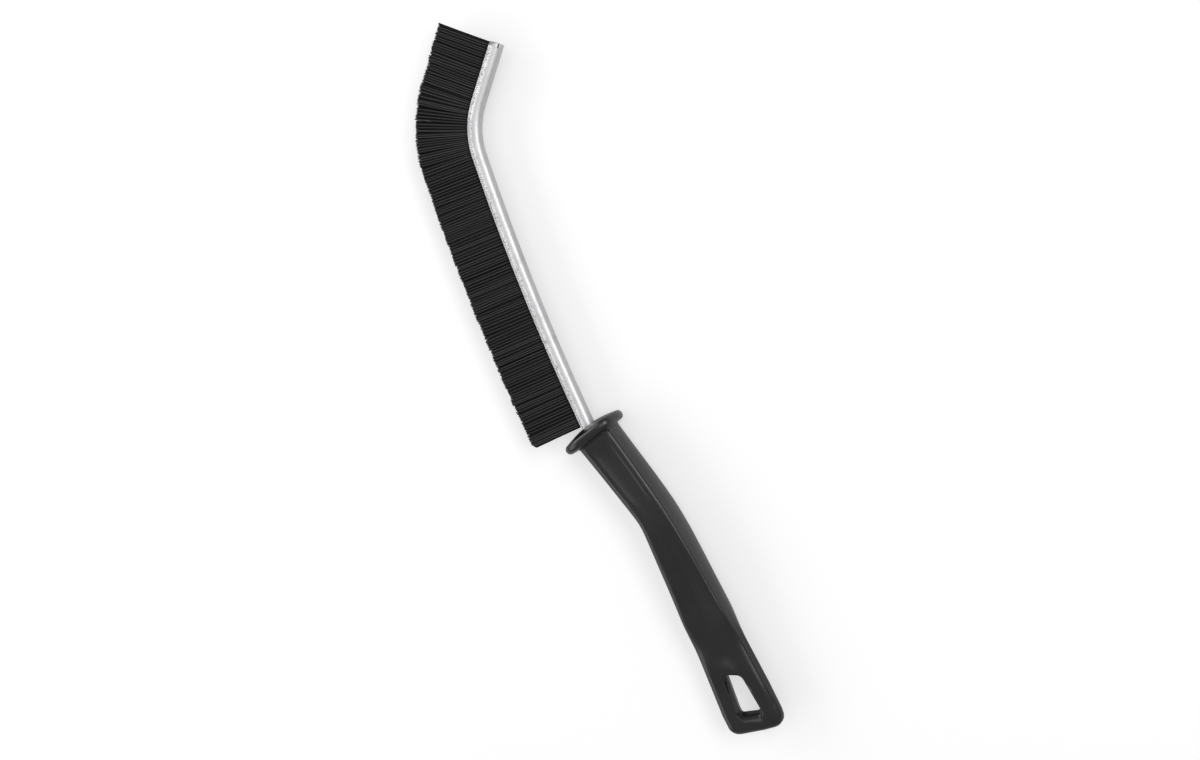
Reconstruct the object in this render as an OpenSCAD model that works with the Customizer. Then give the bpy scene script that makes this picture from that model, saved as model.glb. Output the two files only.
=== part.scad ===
// Crevice brush: a crank-shaped moulded handle with a guard and a hanging slot,
// and a bent strip of folded sheet metal that grips a dense row of filaments.
// Millimetres, +Z up. The brush lies on its broad side, its grip along X.

/* [Metal channel] */
// Outside width of the folded channel
channel_w = 5; // [4:0.1:6.5]
// From the core wire's centre to the channel's lips
lip_reach = 2.45; // [2:0.05:3.5]
// Thickness of the sheet
sheet_t = 0.5; // [0.3:0.05:0.8]
// Lean of the side walls towards each other, in degrees
wall_lean = 18; // [8:1:22]
// Diameter of the core wire
wire_d = 1.6; // [1:0.1:2]
// Length of the walls that are pinched in at the tip
pinch_len = 1.6; // [1:0.1:3]
// How far those walls are pinched in at their ends
pinch_in = 0.4; // [0.1:0.05:0.45]

/* [Run of the head] */
// Straight run from the guard's front to the long curve
heel_run = 0.7; // [0.3:0.1:8]
// Radius of the long, slight curve
long_r = 890; // [600:10:2000]
// Turn of the long curve, in degrees
long_turn = 6.8; // [4:0.1:9]
// Radius of the bend near the tip
bend_r = 28.5; // [20:0.5:60]
// Turn of the bend, in degrees
bend_turn = 39.2; // [15:0.2:60]
// Straight run past the bend
tip_run = 22.3; // [12:0.1:50]
// Length of the tail that is moulded into the handle
tail_len = 12; // [6:0.5:13]

/* [Filaments] */
// From the core wire's centre to the filament tips
tip_reach = 24; // [14:0.1:34]
// Thickness of one strand
strand_w = 0.66; // [0.4:0.02:0.7]
// Spacing of the strands along the channel
strand_pitch = 1.07; // [1.05:0.01:1.6]
// Rows of strands across the channel
strand_rows = 3; // [2:1:3]
// Spacing of the rows where they leave the lips
row_gap = 0.78; // [0.72:0.01:0.85]
// Widening of the rows towards the tips
row_flare = 1.7; // [1:0.1:2.4]
// Largest difference in strand length
strand_ragged = 0.45; // [0:0.05:1]
// From the guard's front to the fill
fill_gap = 0.2; // [0.2:0.1:8]

/* [Guard] */
// Thickness of the guard's rim
guard_t = 3.6; // [2:0.1:5]
// Reach of the guard past the handle's belly
guard_reach = 4.5; // [3:0.1:8]
// Reach of the guard past the handle's spine
guard_spine_reach = 3.6; // [2.6:0.1:8]
// Reach of the guard past the handle's broad faces
guard_rise = 3.1; // [2:0.1:6]
// Rise of the guard's domed front
guard_dome = 1.7; // [0.4:0.1:2]

/* [Handle] */
// Length of the handle behind the guard's middle, on the spine side
handle_len = 126.4; // [115:0.2:140]
// How much further the spine reaches than the belly at the guard
front_slant = 3.4; // [2.4:0.1:4.4]
// How much further the spine reaches than the belly at the butt
butt_slant = 3.4; // [0:0.1:5]
// From the guard to the handle's bend, along X
bend_at = 38; // [32:1:46]
// Drop of the belly from the channel's line to the bend
belly_drop = 3.2; // [2.4:0.1:4.6]
// Slope of the belly between guard and bend
belly_front_slope = 0.281; // [0.24:0.005:0.32]
// Slope of the belly along the grip
belly_rear_slope = -0.057; // [-0.08:0.001:0.02]
// Blend length of the belly's bend
belly_blend = 3.1; // [2:0.1:8]
// Drop of the spine from the channel's line to the bend
spine_drop = 16.7; // [15:0.1:19]
// Slope of the spine between guard and bend
spine_front_slope = 0.219; // [0.19:0.005:0.26]
// Slope of the spine along the grip
spine_rear_slope = 0.052; // [0:0.001:0.08]
// Blend length of the spine's bend
spine_blend = 12; // [6:0.5:20]
// Thickness behind the guard
thick_front = 13.4; // [11:0.1:16]
// Thickness at the bend
thick_bend = 15.2; // [12:0.1:18]
// Thickness halfway down the grip
thick_grip = 12.2; // [10:0.1:16]
// Thickness of the flat end round the slot
thick_end = 7; // [5:0.1:9]
// Radius of the ridge along the spine
ridge_r = 1.2; // [0.8:0.1:1.6]
// Radius of the edges at the butt and round the flat end
end_edge_r = 2.3; // [1.7:0.1:2.4]
// Radius of the belly's edges
belly_r = 2.3; // [1.5:0.1:2.4]
// Crown of the spine face
spine_crown = 0.7; // [0.2:0.1:1]
// Depth of the scoop in the broad faces behind the guard
scoop_front = 0.3; // [0:0.05:0.5]
// Depth of the scoop halfway down the grip
scoop_grip = 0.8; // [0:0.05:1]
// Radius of the butt's belly corner, seen from above
butt_r = 4.2; // [3:0.1:5]
// How far the butt's spine corner is rounded across the handle
butt_spine_r = 5.4; // [3:0.1:6]

/* [Hanging slot] */
// Length of the slot at mid-thickness, where it is narrowest
slot_len = 14.7; // [10:0.1:16]
// Width of the slot at its butt end
slot_w = 8; // [6:0.1:9]
// Width of the slot at its front end
slot_front_w = 5.8; // [5:0.1:8]
// Material left between the slot and the butt
slot_land = 8; // [7.4:0.1:10]
// Draft of the slot's walls, from mid-thickness to each face
slot_draft = 0.6; // [0:0.1:1]
// Further slope of the slot's butt end, on which a hook seats
slot_ramp = 1.3; // [0:0.1:1.8]
// Large corner radius, at the spine side of the slot's front
slot_big_r = 2.4; // [1.5:0.1:2.4]
// Small corner radius at the slot's other corners
slot_small_r = 1.4; // [0.8:0.1:2.2]

/* [Hidden] */
round_fn = 96;
slot_fn = 32;
$fn = round_fn;
// Clearance of the tail in its socket, and of the fold in the channel
fit_gap = 0.1;
fold_gap = 0.06;
// Short straight stretch between the two curves
bend_land = 0.5;

wire_r = wire_d / 2;
outer_r = channel_w / 2;
inner_r = outer_r - sheet_t;
rim_r = guard_t / 2;
guard_front = rim_r + guard_dome;

// Distances along the core line, from the guard's middle
fill_start = guard_front + fill_gap;
long_start = guard_front + heel_run;
long_len = long_r * long_turn * PI / 180;
long_end = long_start + long_len;
bend_start = long_end + bend_land;
bend_len = bend_r * bend_turn * PI / 180;
bend_end = bend_start + bend_len;
head_len = bend_end + tip_run;
fill_end = head_len - pinch_len;

// Stretches of the fill: heel and front halves of the long run, bend and tip
long_mid = (fill_start + long_end) / 2;
heel_span = [fill_start, long_mid];
front_span = [long_mid, long_end];
bend_span = [long_end, bend_end];
tip_span = [bend_end, fill_end];

// Facets round the channel's back, along the long curve and along the bend
back_steps = 12;
long_steps = 24;
bend_steps = 20;
// A notch splits each pinched wall from the back: its place and its width
notch_at = outer_r * cos(124);
notch_w = 0.4;

// How deep the strands are rooted in the fold, and how far their tips sway
root_depth = 0.4;
strand_sway = 0.12;
// The first strands are cut back, which rounds the fill's corner beside the guard
heel_cut = 1.2;
heel_cut_run = 2;
// Each row is moved along from the next by this share of the pitch
row_stagger = 0.3;
// The last strands lean out until they are flush with the channel's end
end_lean = pinch_len + 0.3;
end_lean_run = 8;

// Where the handle's thickness changes: behind the guard, behind its bend, halfway down the
// grip, and where the flat end starts ahead of the slot
thick_from = 4;
thick_past_bend = 1.5;
grip_half = 38;
flat_run = 9.1;
thick_x = [-thick_from, -bend_at - thick_past_bend, -bend_at - grip_half,
    slot_front_x() + flat_run];
thick_v = [thick_front, thick_bend, thick_grip, thick_end];

// Rings and points of the handle's skin
body_steps = 46;
ring_spread = 1.06;
corner_steps = 4;
arc_steps = 6;
root_steps = 3;
dome_shares = [0.86, 0.66, 0.5, 0.26];
// The grip's last ring stands this many butt radii ahead of the butt
butt_margin = 1.3;
// Places across a broad face where the scoop is drawn, from edge to edge
scoop_at = [0, 0.06, 0.16, 0.32, 0.5, 0.68, 0.84, 0.94, 1];
// Places across the spine and belly faces
face_at = [-0.5, 0, 0.5];
belly_crown = 0.4;

// The scoop fades in behind the guard. Towards the spine it is steep-edged at first, and as
// round as towards the belly along the grip; the change takes place around the bend.
scoop_from = 4;
scoop_full = 9;
scoop_fade = 4;
round_power = 2;
steep_power = 7;
turn_from = bend_at * 0.6;
turn_full = bend_at * 1.5;
// Flat border between the scoop and the edges, behind the guard and along the grip
border_front = 1.1;
border_grip = 2.7;

guard_root_r = 0.8;
rim_reach = guard_reach - rim_r;

// Share of the handle's length at which the slot's middle lies, and the height of the
// straight belt at mid-thickness where the slot is narrowest
slot_u = 0.93;
slot_belt = 1.4;

// A pose is [x, y, heading]. The head turns clockwise all the way to its tip.
function go(pose, d) = [pose[0] + d * cos(pose[2]), pose[1] + d * sin(pose[2]), pose[2]];
function turn(pose, r, a) = [
    pose[0] + r * (sin(pose[2]) - sin(pose[2] - a)),
    pose[1] - r * (cos(pose[2]) - cos(pose[2] - a)),
    pose[2] - a];
guard_pose = [0, 0, 0];
long_pose = go(guard_pose, long_start);
land_pose = turn(long_pose, long_r, long_turn);
bend_pose = go(land_pose, bend_land);
tip_pose = turn(bend_pose, bend_r, bend_turn);
end_pose = go(tip_pose, tip_run);

// Pose on the core line at distance s in front of the guard's middle
function pose_at(s) =
    s < long_start ? go(guard_pose, s)
    : s < long_end ? turn(long_pose, long_r, (s - long_start) / long_r * 180 / PI)
    : s < bend_start ? go(land_pose, s - long_end)
    : s < bend_end ? turn(bend_pose, bend_r, (s - bend_start) / bend_r * 180 / PI)
    : go(tip_pose, s - bend_end);

// Point beside the core line, at distance n towards the filaments
function beside(pose, n) = [pose[0] - n * sin(pose[2]), pose[1] + n * cos(pose[2])];

// Where the whole brush lies: centred over its box, with the guard's rim on z = 0
function slot_front_x() = -handle_len + butt_slant / 2 + slot_land + slot_len;
mid_z = thick_front / 2 + guard_rise;
box_front = beside(go(pose_at(fill_end), end_lean), tip_reach)[0];
box_left = tip_reach;
box_right = beside(end_pose, -outer_r)[1];
home = [(handle_len - box_front) / 2, -(box_left + box_right) / 2, mid_z];

// Puts a piece at a pose. Whole millimetres come first, so that no digit of the rest is
// lost and the runs of a bent piece meet face to face.
module at(pose) {
    whole = [floor(pose[0]), floor(pose[1]), 0];
    translate(whole)
        translate([pose[0], pose[1], 0] - whole)
            rotate(pose[2])
                children();
}

// Runs of a flat profile whose x points to the filaments and whose y points up
module straight_run(length) {
    rotate([90, 0, 90])
        linear_extrude(length)
            children();
}

module curved_run(r, a) {
    translate([0, -r, 0])
        mirror([1, -1, 0])
            rotate_extrude(angle = a, $fn = round_fn + ceil(r))
                translate([r, 0])
                    children();
}

// Puts a piece on the tip's straight stretch, at distance d from the bend
module on_tip(d) {
    at(land_pose)
        at(turn([bend_land, 0, 0], bend_r, bend_turn))
            translate([d, 0, 0])
                children();
}

// The part of the core line between the distances s0 and s1 from the guard's middle
module head_run(s0, s1) {
    if (s0 < long_start)
        at(pose_at(s0))
            straight_run(min(s1, long_start) - s0)
                children();
    if (s0 < long_end && s1 > long_start)
        at(pose_at(max(s0, long_start)))
            curved_run(long_r, (min(s1, long_end) - max(s0, long_start)) / long_r * 180 / PI)
                children();
    if (s0 < bend_end && s1 > long_end)
        at(land_pose) {
            straight_run(bend_land)
                children();
            translate([bend_land, 0, 0])
                curved_run(bend_r, bend_turn)
                    children();
        }
    if (s1 > bend_end)
        on_tip(max(s0 - bend_end, 0))
            straight_run(s1 - max(s0, bend_end))
                children();
}

// Round back with two walls that lean together, out to distance reach
module strip_outline(r, reach) {
    near = [r * sin(wall_lean), r * cos(wall_lean)];
    far = [reach, (r - reach * sin(wall_lean)) / cos(wall_lean)];
    circle(r, $fn = round_fn);
    polygon([near, far, [far[0], -far[1]], [near[0], -near[1]]]);
}

module fold_profile() {
    difference() {
        strip_outline(inner_r - fold_gap, lip_reach);
        circle(wire_r + fold_gap);
    }
}

// One face of the channel's sheet as [n, z], from the lower lip round the back to the upper
function sheet_line(r) =
    let (
        lip = (r - lip_reach * sin(wall_lean)) / cos(wall_lean),
        sweep = 180 + 2 * wall_lean)
    concat(
        [[lip_reach, -lip]],
        [for (i = [0:back_steps])
            let (a = 270 + wall_lean - sweep * i / back_steps)
            [r * cos(a), r * sin(a)]],
        [[lip_reach, lip]]);

function reversed(list) = [for (i = [len(list) - 1:-1:0]) list[i]];

// The channel's section at distance s, its walls pinched by a share of pinch_in at the lips,
// and by less towards the notches
function channel_ring(s, share = 0) =
    let (pose = pose_at(s))
    [for (p = concat(sheet_line(outer_r), reversed(sheet_line(inner_r))))
        let (
            place = beside(pose, p[0]),
            bent_in = max(0, p[0] - notch_at) / (lip_reach - notch_at))
        [place[0], place[1], p[1] - sign(p[1]) * share * pinch_in * bent_in]];

module channel_skin() {
    skin(concat(
        [channel_ring(-tail_len)],
        [for (i = [0:long_steps]) channel_ring(long_start + long_len * i / long_steps)],
        [for (i = [0:bend_steps]) channel_ring(bend_start + bend_len * i / bend_steps)],
        [channel_ring(head_len - pinch_len), channel_ring(head_len, 1)]),
        hollow = true);
}

module channel() {
    color("silver")
        difference() {
            channel_skin();
            for (side = [-1, 1])
                on_tip(tip_run)
                    translate([0, notch_at, side * outer_r])
                        cube([2 * pinch_len, notch_w, 2 * (outer_r - wire_r)], center = true);
        }
}

module core_wire() {
    color("gray")
        head_run(-tail_len, head_len)
            circle(wire_r, $fn = round_fn);
}

// Even, repeatable unevenness between -1 and 1 for strand number k
function uneven(k) = sin(k * 137.5 + 70 * sin(k * 61.3));

// Eight corners of a strand that leaves the fold at distance s in row r
function strand_points(s, r, k) =
    let (
        pose = pose_at(s),
        z0 = (r - (strand_rows - 1) / 2) * row_gap,
        root = lip_reach - root_depth,
        cut = heel_cut * max(0, 1 - (s - fill_start) / heel_cut_run),
        tip = tip_reach - strand_ragged * (1 + uneven(k)) / 2 - cut,
        lean = end_lean * max(0, 1 - (fill_end - s) / end_lean_run),
        sway = strand_sway * uneven(k + 7) + lean,
        half = strand_w / 2)
    [for (end = [0, 1])
        let (
            base = go([beside(pose, end == 0 ? root : tip)[0],
                beside(pose, end == 0 ? root : tip)[1], pose[2]], end * sway),
            z = z0 * (end == 0 ? 1 : row_flare))
        for (corner = [[-half, -half], [half, -half], [half, half], [-half, half]])
            let (p = go(base, corner[0]))
            [p[0], p[1], z + corner[1]]];

box_faces = [
    [2, 1, 0], [3, 2, 0], [4, 5, 6], [4, 6, 7],
    [4, 0, 1], [5, 4, 1], [5, 1, 2], [6, 5, 2],
    [6, 2, 3], [7, 6, 3], [7, 3, 0], [4, 7, 0]];

// One stretch of the fill: its slice of the fold, and its strands in staggered rows.
// In the bend the strands stand as close as the lips let them, and fan out.
module bristle_run(span) {
    length = span[1] - span[0];
    count = floor(length / strand_pitch + 0.2);
    step = length / count;
    color([0.13, 0.13, 0.14]) {
        head_run(span[0], span[1])
            fold_profile();
        for (i = [0:count - 1])
            for (r = [0:strand_rows - 1])
                let (stagger = (r - (strand_rows - 1) / 2) * row_stagger)
                polyhedron(
                    strand_points(span[0] + (i + 0.5 + stagger) * step, r, i * strand_rows + r),
                    box_faces);
    }
}

module bristles_heel() {
    bristle_run(heel_span);
}

module bristles_front() {
    bristle_run(front_span);
}

module bristles_bend() {
    bristle_run(bend_span);
}

module bristles_tip() {
    bristle_run(tip_span);
}

// Eased step from 0 to 1
function ease(t) = let (c = min(max(t, 0), 1)) c * c * (3 - 2 * c);

// Two straight slopes that meet in a blend
function bent(x, drop, front, rear, blend) =
    -drop + (front + rear) / 2 * (x + bend_at)
    + (front - rear) / 2 * (sqrt((x + bend_at) * (x + bend_at) + blend * blend) - blend);

// Share of the way from x0 (towards the guard) to x1 (towards the butt)
function along(x, x0, x1) = ease((x0 - x) / (x0 - x1));

function thickness_at(x) =
    thick_v[0]
    + (thick_v[1] - thick_v[0]) * along(x, thick_x[0], thick_x[1])
    + (thick_v[2] - thick_v[1]) * along(x, thick_x[1], thick_x[2])
    + (thick_v[3] - thick_v[2]) * along(x, thick_x[2], thick_x[3]);

// Belly and spine points of the section at share u of the handle's length
function belly_at(u) =
    let (x = (1 - u) * -front_slant / 2 + u * (butt_slant - handle_len))
    [x, bent(x, belly_drop, belly_front_slope, belly_rear_slope, belly_blend)];
function spine_at(u) =
    let (x = (1 - u) * front_slant / 2 - u * handle_len)
    [x, bent(x, spine_drop, spine_front_slope, spine_rear_slope, spine_blend)];

// Depth of the scoop at share t across a broad face, from the spine to the belly
function scoop_depth(x, t) =
    let (
        steep = (steep_power - round_power) * (1 - along(x, -turn_from, -turn_full)),
        power = round_power + (t < 0.5 ? steep : 0),
        start = along(x, -scoop_from, -scoop_full),
        depth = scoop_front + (scoop_grip - scoop_front) * along(x, -bend_at, thick_x[2]),
        stop = 1 - along(x, thick_x[2] - scoop_fade, thick_x[3] + scoop_fade / 2))
    start * stop * depth * (1 - pow(abs(2 * t - 1), power));

function corner_arc(cx, cz, r, a0) = [
    for (i = [0:corner_steps])
        let (a = a0 + 90 * i / corner_steps)
        [cx + r * cos(a), cz + r * sin(a), cos(a), sin(a)]];

// Outline of a section as [across, up, normal across, normal up], from the belly outwards
function section(u) =
    let (
        b = belly_at(u),
        s = spine_at(u),
        x = (b[0] + s[0]) / 2,
        w = norm(s - b),
        h = thickness_at(x) / 2,
        soften = along(x, thick_x[2], thick_x[3]),
        rs = ridge_r + (end_edge_r - ridge_r) * soften,
        rb = belly_r,
        q1 = w - spine_crown - rs,
        q0 = belly_crown + rb,
        border = border_front + (border_grip - border_front) * along(x, -turn_from, -turn_full))
    concat(
        [for (f = face_at) [w - spine_crown * f * f, f * (h - rs), 1, 0]],
        corner_arc(q1, h - rs, rs, 0),
        [for (t = scoop_at)
            [q1 - border + (q0 - q1 + 2 * border) * t, h - scoop_depth(x, t), 0, 1]],
        corner_arc(q0, h - rb, rb, 90),
        [for (f = face_at) [belly_crown * f * f, -f * (h - rb), -1, 0]],
        corner_arc(q0, rb - h, rb, 180),
        [for (t = scoop_at)
            [q0 + border + (q1 - q0 - 2 * border) * t, scoop_depth(x, 1 - t) - h, 0, -1]],
        corner_arc(q1, rs - h, rs, 270));

// A section placed in space: grown outwards, moved ahead, or drawn in from the belly's and
// the spine's side for the butt
function ring(u, grow = 0, ahead = 0, inset = [0, 0], thin = 0, share = 1) =
    let (
        b = belly_at(u),
        s = spine_at(u),
        w = norm(s - b),
        across = (s - b) / w,
        forward = [-across[1], across[0]],
        h = thickness_at((b[0] + s[0]) / 2) / 2,
        rise = guard_rise / guard_reach,
        spine_rate = guard_spine_reach / guard_reach)
    [for (p = section(u))
        let (
            q = inset[0] + p[0] * (w - inset[0] - inset[1]) / w,
            out = w / 2 + (q - w / 2) * share + grow * p[2] * (p[2] > 0 ? spine_rate : 1),
            z = p[1] * (h - thin) / h * share + grow * rise * p[3],
            place = b + across * out + forward * ahead)
        [place[0], place[1], z]];

// Rings from the butt's corner rounding, along the grip, to the guard's domed front
function butt_rings() = [
    for (i = [0:arc_steps])
        let (
            a = 90 - 90 * i / arc_steps,
            drawn_in = 1 - cos(a))
        ring(1, ahead = butt_r * (1 - sin(a)), inset = [butt_r, butt_spine_r] * drawn_in,
            thin = end_edge_r * drawn_in)];
function body_rings() =
    let (last_u = 1 - butt_margin * butt_r / handle_len)
    [for (i = [body_steps - 1:-1:1]) ring(last_u * pow(i / body_steps, ring_spread))];
function guard_rings() = concat(
    [for (i = [0:root_steps])
        let (a = 90 * i / root_steps)
        ring(0, grow = guard_root_r * (1 - cos(a)), ahead = -rim_r - guard_root_r * (1 - sin(a)))],
    [for (i = [0:2 * arc_steps])
        let (a = 90 * i / arc_steps - 90)
        ring(0, grow = rim_reach + rim_r * cos(a), ahead = rim_r * sin(a))],
    [for (f = dome_shares)
        ring(0, grow = rim_reach * f, ahead = rim_r + guard_dome * (1 - f * f), share = f)]);

// Skin over a list of rings that all have the same number of points. A ring of folded sheet
// is closed by a strip of faces from its outer to its inner line, any other by a fan.
module skin(rings, hollow = false) {
    n = len(rings[0]);
    m = len(rings);
    points = [for (r = rings) for (p = r) p];
    sides = [
        for (i = [0:m - 2])
            for (j = [0:n - 1])
                let (k = (j + 1) % n)
                for (tri = [
                    [i * n + j, i * n + k, (i + 1) * n + k],
                    [i * n + j, (i + 1) * n + k, (i + 1) * n + j]])
                    tri];
    cap = hollow
        ? [for (j = [0:n / 2 - 2]) for (tri = [[j, j + 1, n - 2 - j], [j, n - 2 - j, n - 1 - j]]) tri]
        : [for (j = [1:n - 2]) [0, j, j + 1]];
    first = [for (tri = cap) reversed(tri)];
    last = [for (tri = cap) [for (k = tri) (m - 1) * n + k]];
    polyhedron(points, concat(first, sides, last));
}

// The slot at mid-thickness: wider towards the butt, and its ends slanted like the butt
module slot_outline() {
    x1 = slot_front_x();
    x0 = x1 - slot_len;
    middle = (belly_at(slot_u)[1] + spine_at(slot_u)[1] + belly_crown) / 2;
    lean = butt_slant / (belly_at(1)[1] - spine_at(1)[1]);
    function corner(x, y, r, ahead) =
        [x + lean * y - ahead * r, middle + y - sign(y) * r];
    hull() {
        translate(corner(x1, slot_front_w / 2, slot_small_r, 1))
            circle(slot_small_r, $fn = slot_fn);
        translate(corner(x1, -slot_front_w / 2, slot_big_r, 1))
            circle(slot_big_r, $fn = slot_fn);
        translate(corner(x0, slot_w / 2, slot_small_r, -1))
            circle(slot_small_r, $fn = slot_fn);
        translate(corner(x0, -slot_w / 2, slot_small_r, -1))
            circle(slot_small_r, $fn = slot_fn);
    }
}

// The slot at a face: drafted all round, and sloped further at the butt end
module slot_mouth() {
    offset(slot_draft, $fn = slot_fn)
        hull() {
            slot_outline();
            translate([-slot_ramp, 0])
                slot_outline();
        }
}

module slot_cut() {
    for (side = [0, 1])
        mirror([0, 0, side])
            hull() {
                translate([0, 0, -slot_belt / 2])
                    linear_extrude(slot_belt)
                        slot_outline();
                translate([0, 0, thick_end / 2])
                    linear_extrude(slot_belt)
                        slot_mouth();
            }
}

module handle() {
    color([0.16, 0.16, 0.17])
        difference() {
            skin(concat(butt_rings(), body_rings(), guard_rings()));
            slot_cut();
            head_run(-tail_len - fit_gap, long_start)
                strip_outline(outer_r + fit_gap, lip_reach + fit_gap);
        }
}

translate(home) handle();
translate(home) channel();
translate(home) core_wire();
translate(home) bristles_heel();
translate(home) bristles_front();
translate(home) bristles_bend();
translate(home) bristles_tip();
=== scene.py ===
"""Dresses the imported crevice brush: its finishes, its dense row of filaments and its studio."""

import logging
import math
import random
from dataclasses import dataclass, field, replace
from enum import Enum
from typing import Any, Callable, Iterator, Sequence, Union

import bmesh
import bpy
import numpy as np
from mathutils import Matrix, Vector


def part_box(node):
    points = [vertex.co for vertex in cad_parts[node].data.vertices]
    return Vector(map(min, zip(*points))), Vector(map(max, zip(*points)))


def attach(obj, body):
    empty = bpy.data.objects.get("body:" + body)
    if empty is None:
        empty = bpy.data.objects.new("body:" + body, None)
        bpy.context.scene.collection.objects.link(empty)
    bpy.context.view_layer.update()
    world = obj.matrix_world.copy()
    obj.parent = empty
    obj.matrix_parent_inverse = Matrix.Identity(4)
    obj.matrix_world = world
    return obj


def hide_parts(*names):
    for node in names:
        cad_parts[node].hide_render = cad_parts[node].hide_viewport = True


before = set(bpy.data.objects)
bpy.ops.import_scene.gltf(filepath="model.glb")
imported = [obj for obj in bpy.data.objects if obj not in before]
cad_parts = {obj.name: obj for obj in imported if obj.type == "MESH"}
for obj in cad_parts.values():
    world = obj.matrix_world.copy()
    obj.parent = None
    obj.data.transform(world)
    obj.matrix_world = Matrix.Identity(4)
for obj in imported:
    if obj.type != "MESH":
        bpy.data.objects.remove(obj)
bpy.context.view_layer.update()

MM = 0.001
MERGE_GAP = 0.002 * MM
# The UV map of a strand: how far along it a point lies, and the strand's tone
STRAND_CHART = "strand"
log = logging.getLogger("crevice_brush")

Number = Union[int, float]
Triple = tuple[float, float, float]
Colour = tuple[float, float, float]
Tint = Union[Colour, bpy.types.NodeSocket]
Span = tuple[float, float]
Pair = tuple[float, float]
Shape = tuple[np.ndarray, list[tuple[int, ...]]]


class Stretch(Enum):
    """A stretch of the fill, by the CAD node that it stands for."""

    HEEL = "bristles_heel"
    FRONT = "bristles_front"
    BEND = "bristles_bend"
    TIP = "bristles_tip"


class Wall(Enum):
    """A side wall of the channel, by the way it faces."""

    UPPER = 1
    LOWER = -1


# Shader graphs


class Value:
    """A shader socket that adds Math nodes when it is used in a Python expression."""

    def __init__(self, graph: "Graph", socket: bpy.types.NodeSocket) -> None:
        """Wraps one output socket.

        Args:
            graph: The graph that holds the socket.
            socket: The output socket.
        """
        self.graph = graph
        self.socket = socket

    def _math(self, operation: str, first: "Operand", second: "Operand") -> "Value":
        """Adds one Math node.

        Args:
            operation: The node's operation.
            first: The first operand.
            second: The second operand.

        Returns:
            The node's output.
        """
        node = self.graph.add("ShaderNodeMath", {"operation": operation}, {0: first, 1: second})
        return Value(self.graph, node.outputs[0])

    def __add__(self, other: "Operand") -> "Value":
        """Returns self + other."""
        return self._math("ADD", self, other)

    def __radd__(self, other: "Operand") -> "Value":
        """Returns other + self."""
        return self._math("ADD", other, self)

    def __sub__(self, other: "Operand") -> "Value":
        """Returns self - other."""
        return self._math("SUBTRACT", self, other)

    def __rsub__(self, other: "Operand") -> "Value":
        """Returns other - self."""
        return self._math("SUBTRACT", other, self)

    def __mul__(self, other: "Operand") -> "Value":
        """Returns self * other."""
        return self._math("MULTIPLY", self, other)

    def __rmul__(self, other: "Operand") -> "Value":
        """Returns other * self."""
        return self._math("MULTIPLY", other, self)

    def at_most(self, other: "Operand") -> "Value":
        """Returns the smaller of self and other."""
        return self._math("MINIMUM", self, other)


Operand = Union[Value, Number]


@dataclass(frozen=True)
class Pattern:
    """A noise pattern on a piece's own coordinates, stretched along its axes and turned about Z."""

    scale: float
    detail: float = 3.0
    rough: float = 0.5
    stretch: Triple = (1.0, 1.0, 1.0)
    turn: float = 0.0


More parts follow.
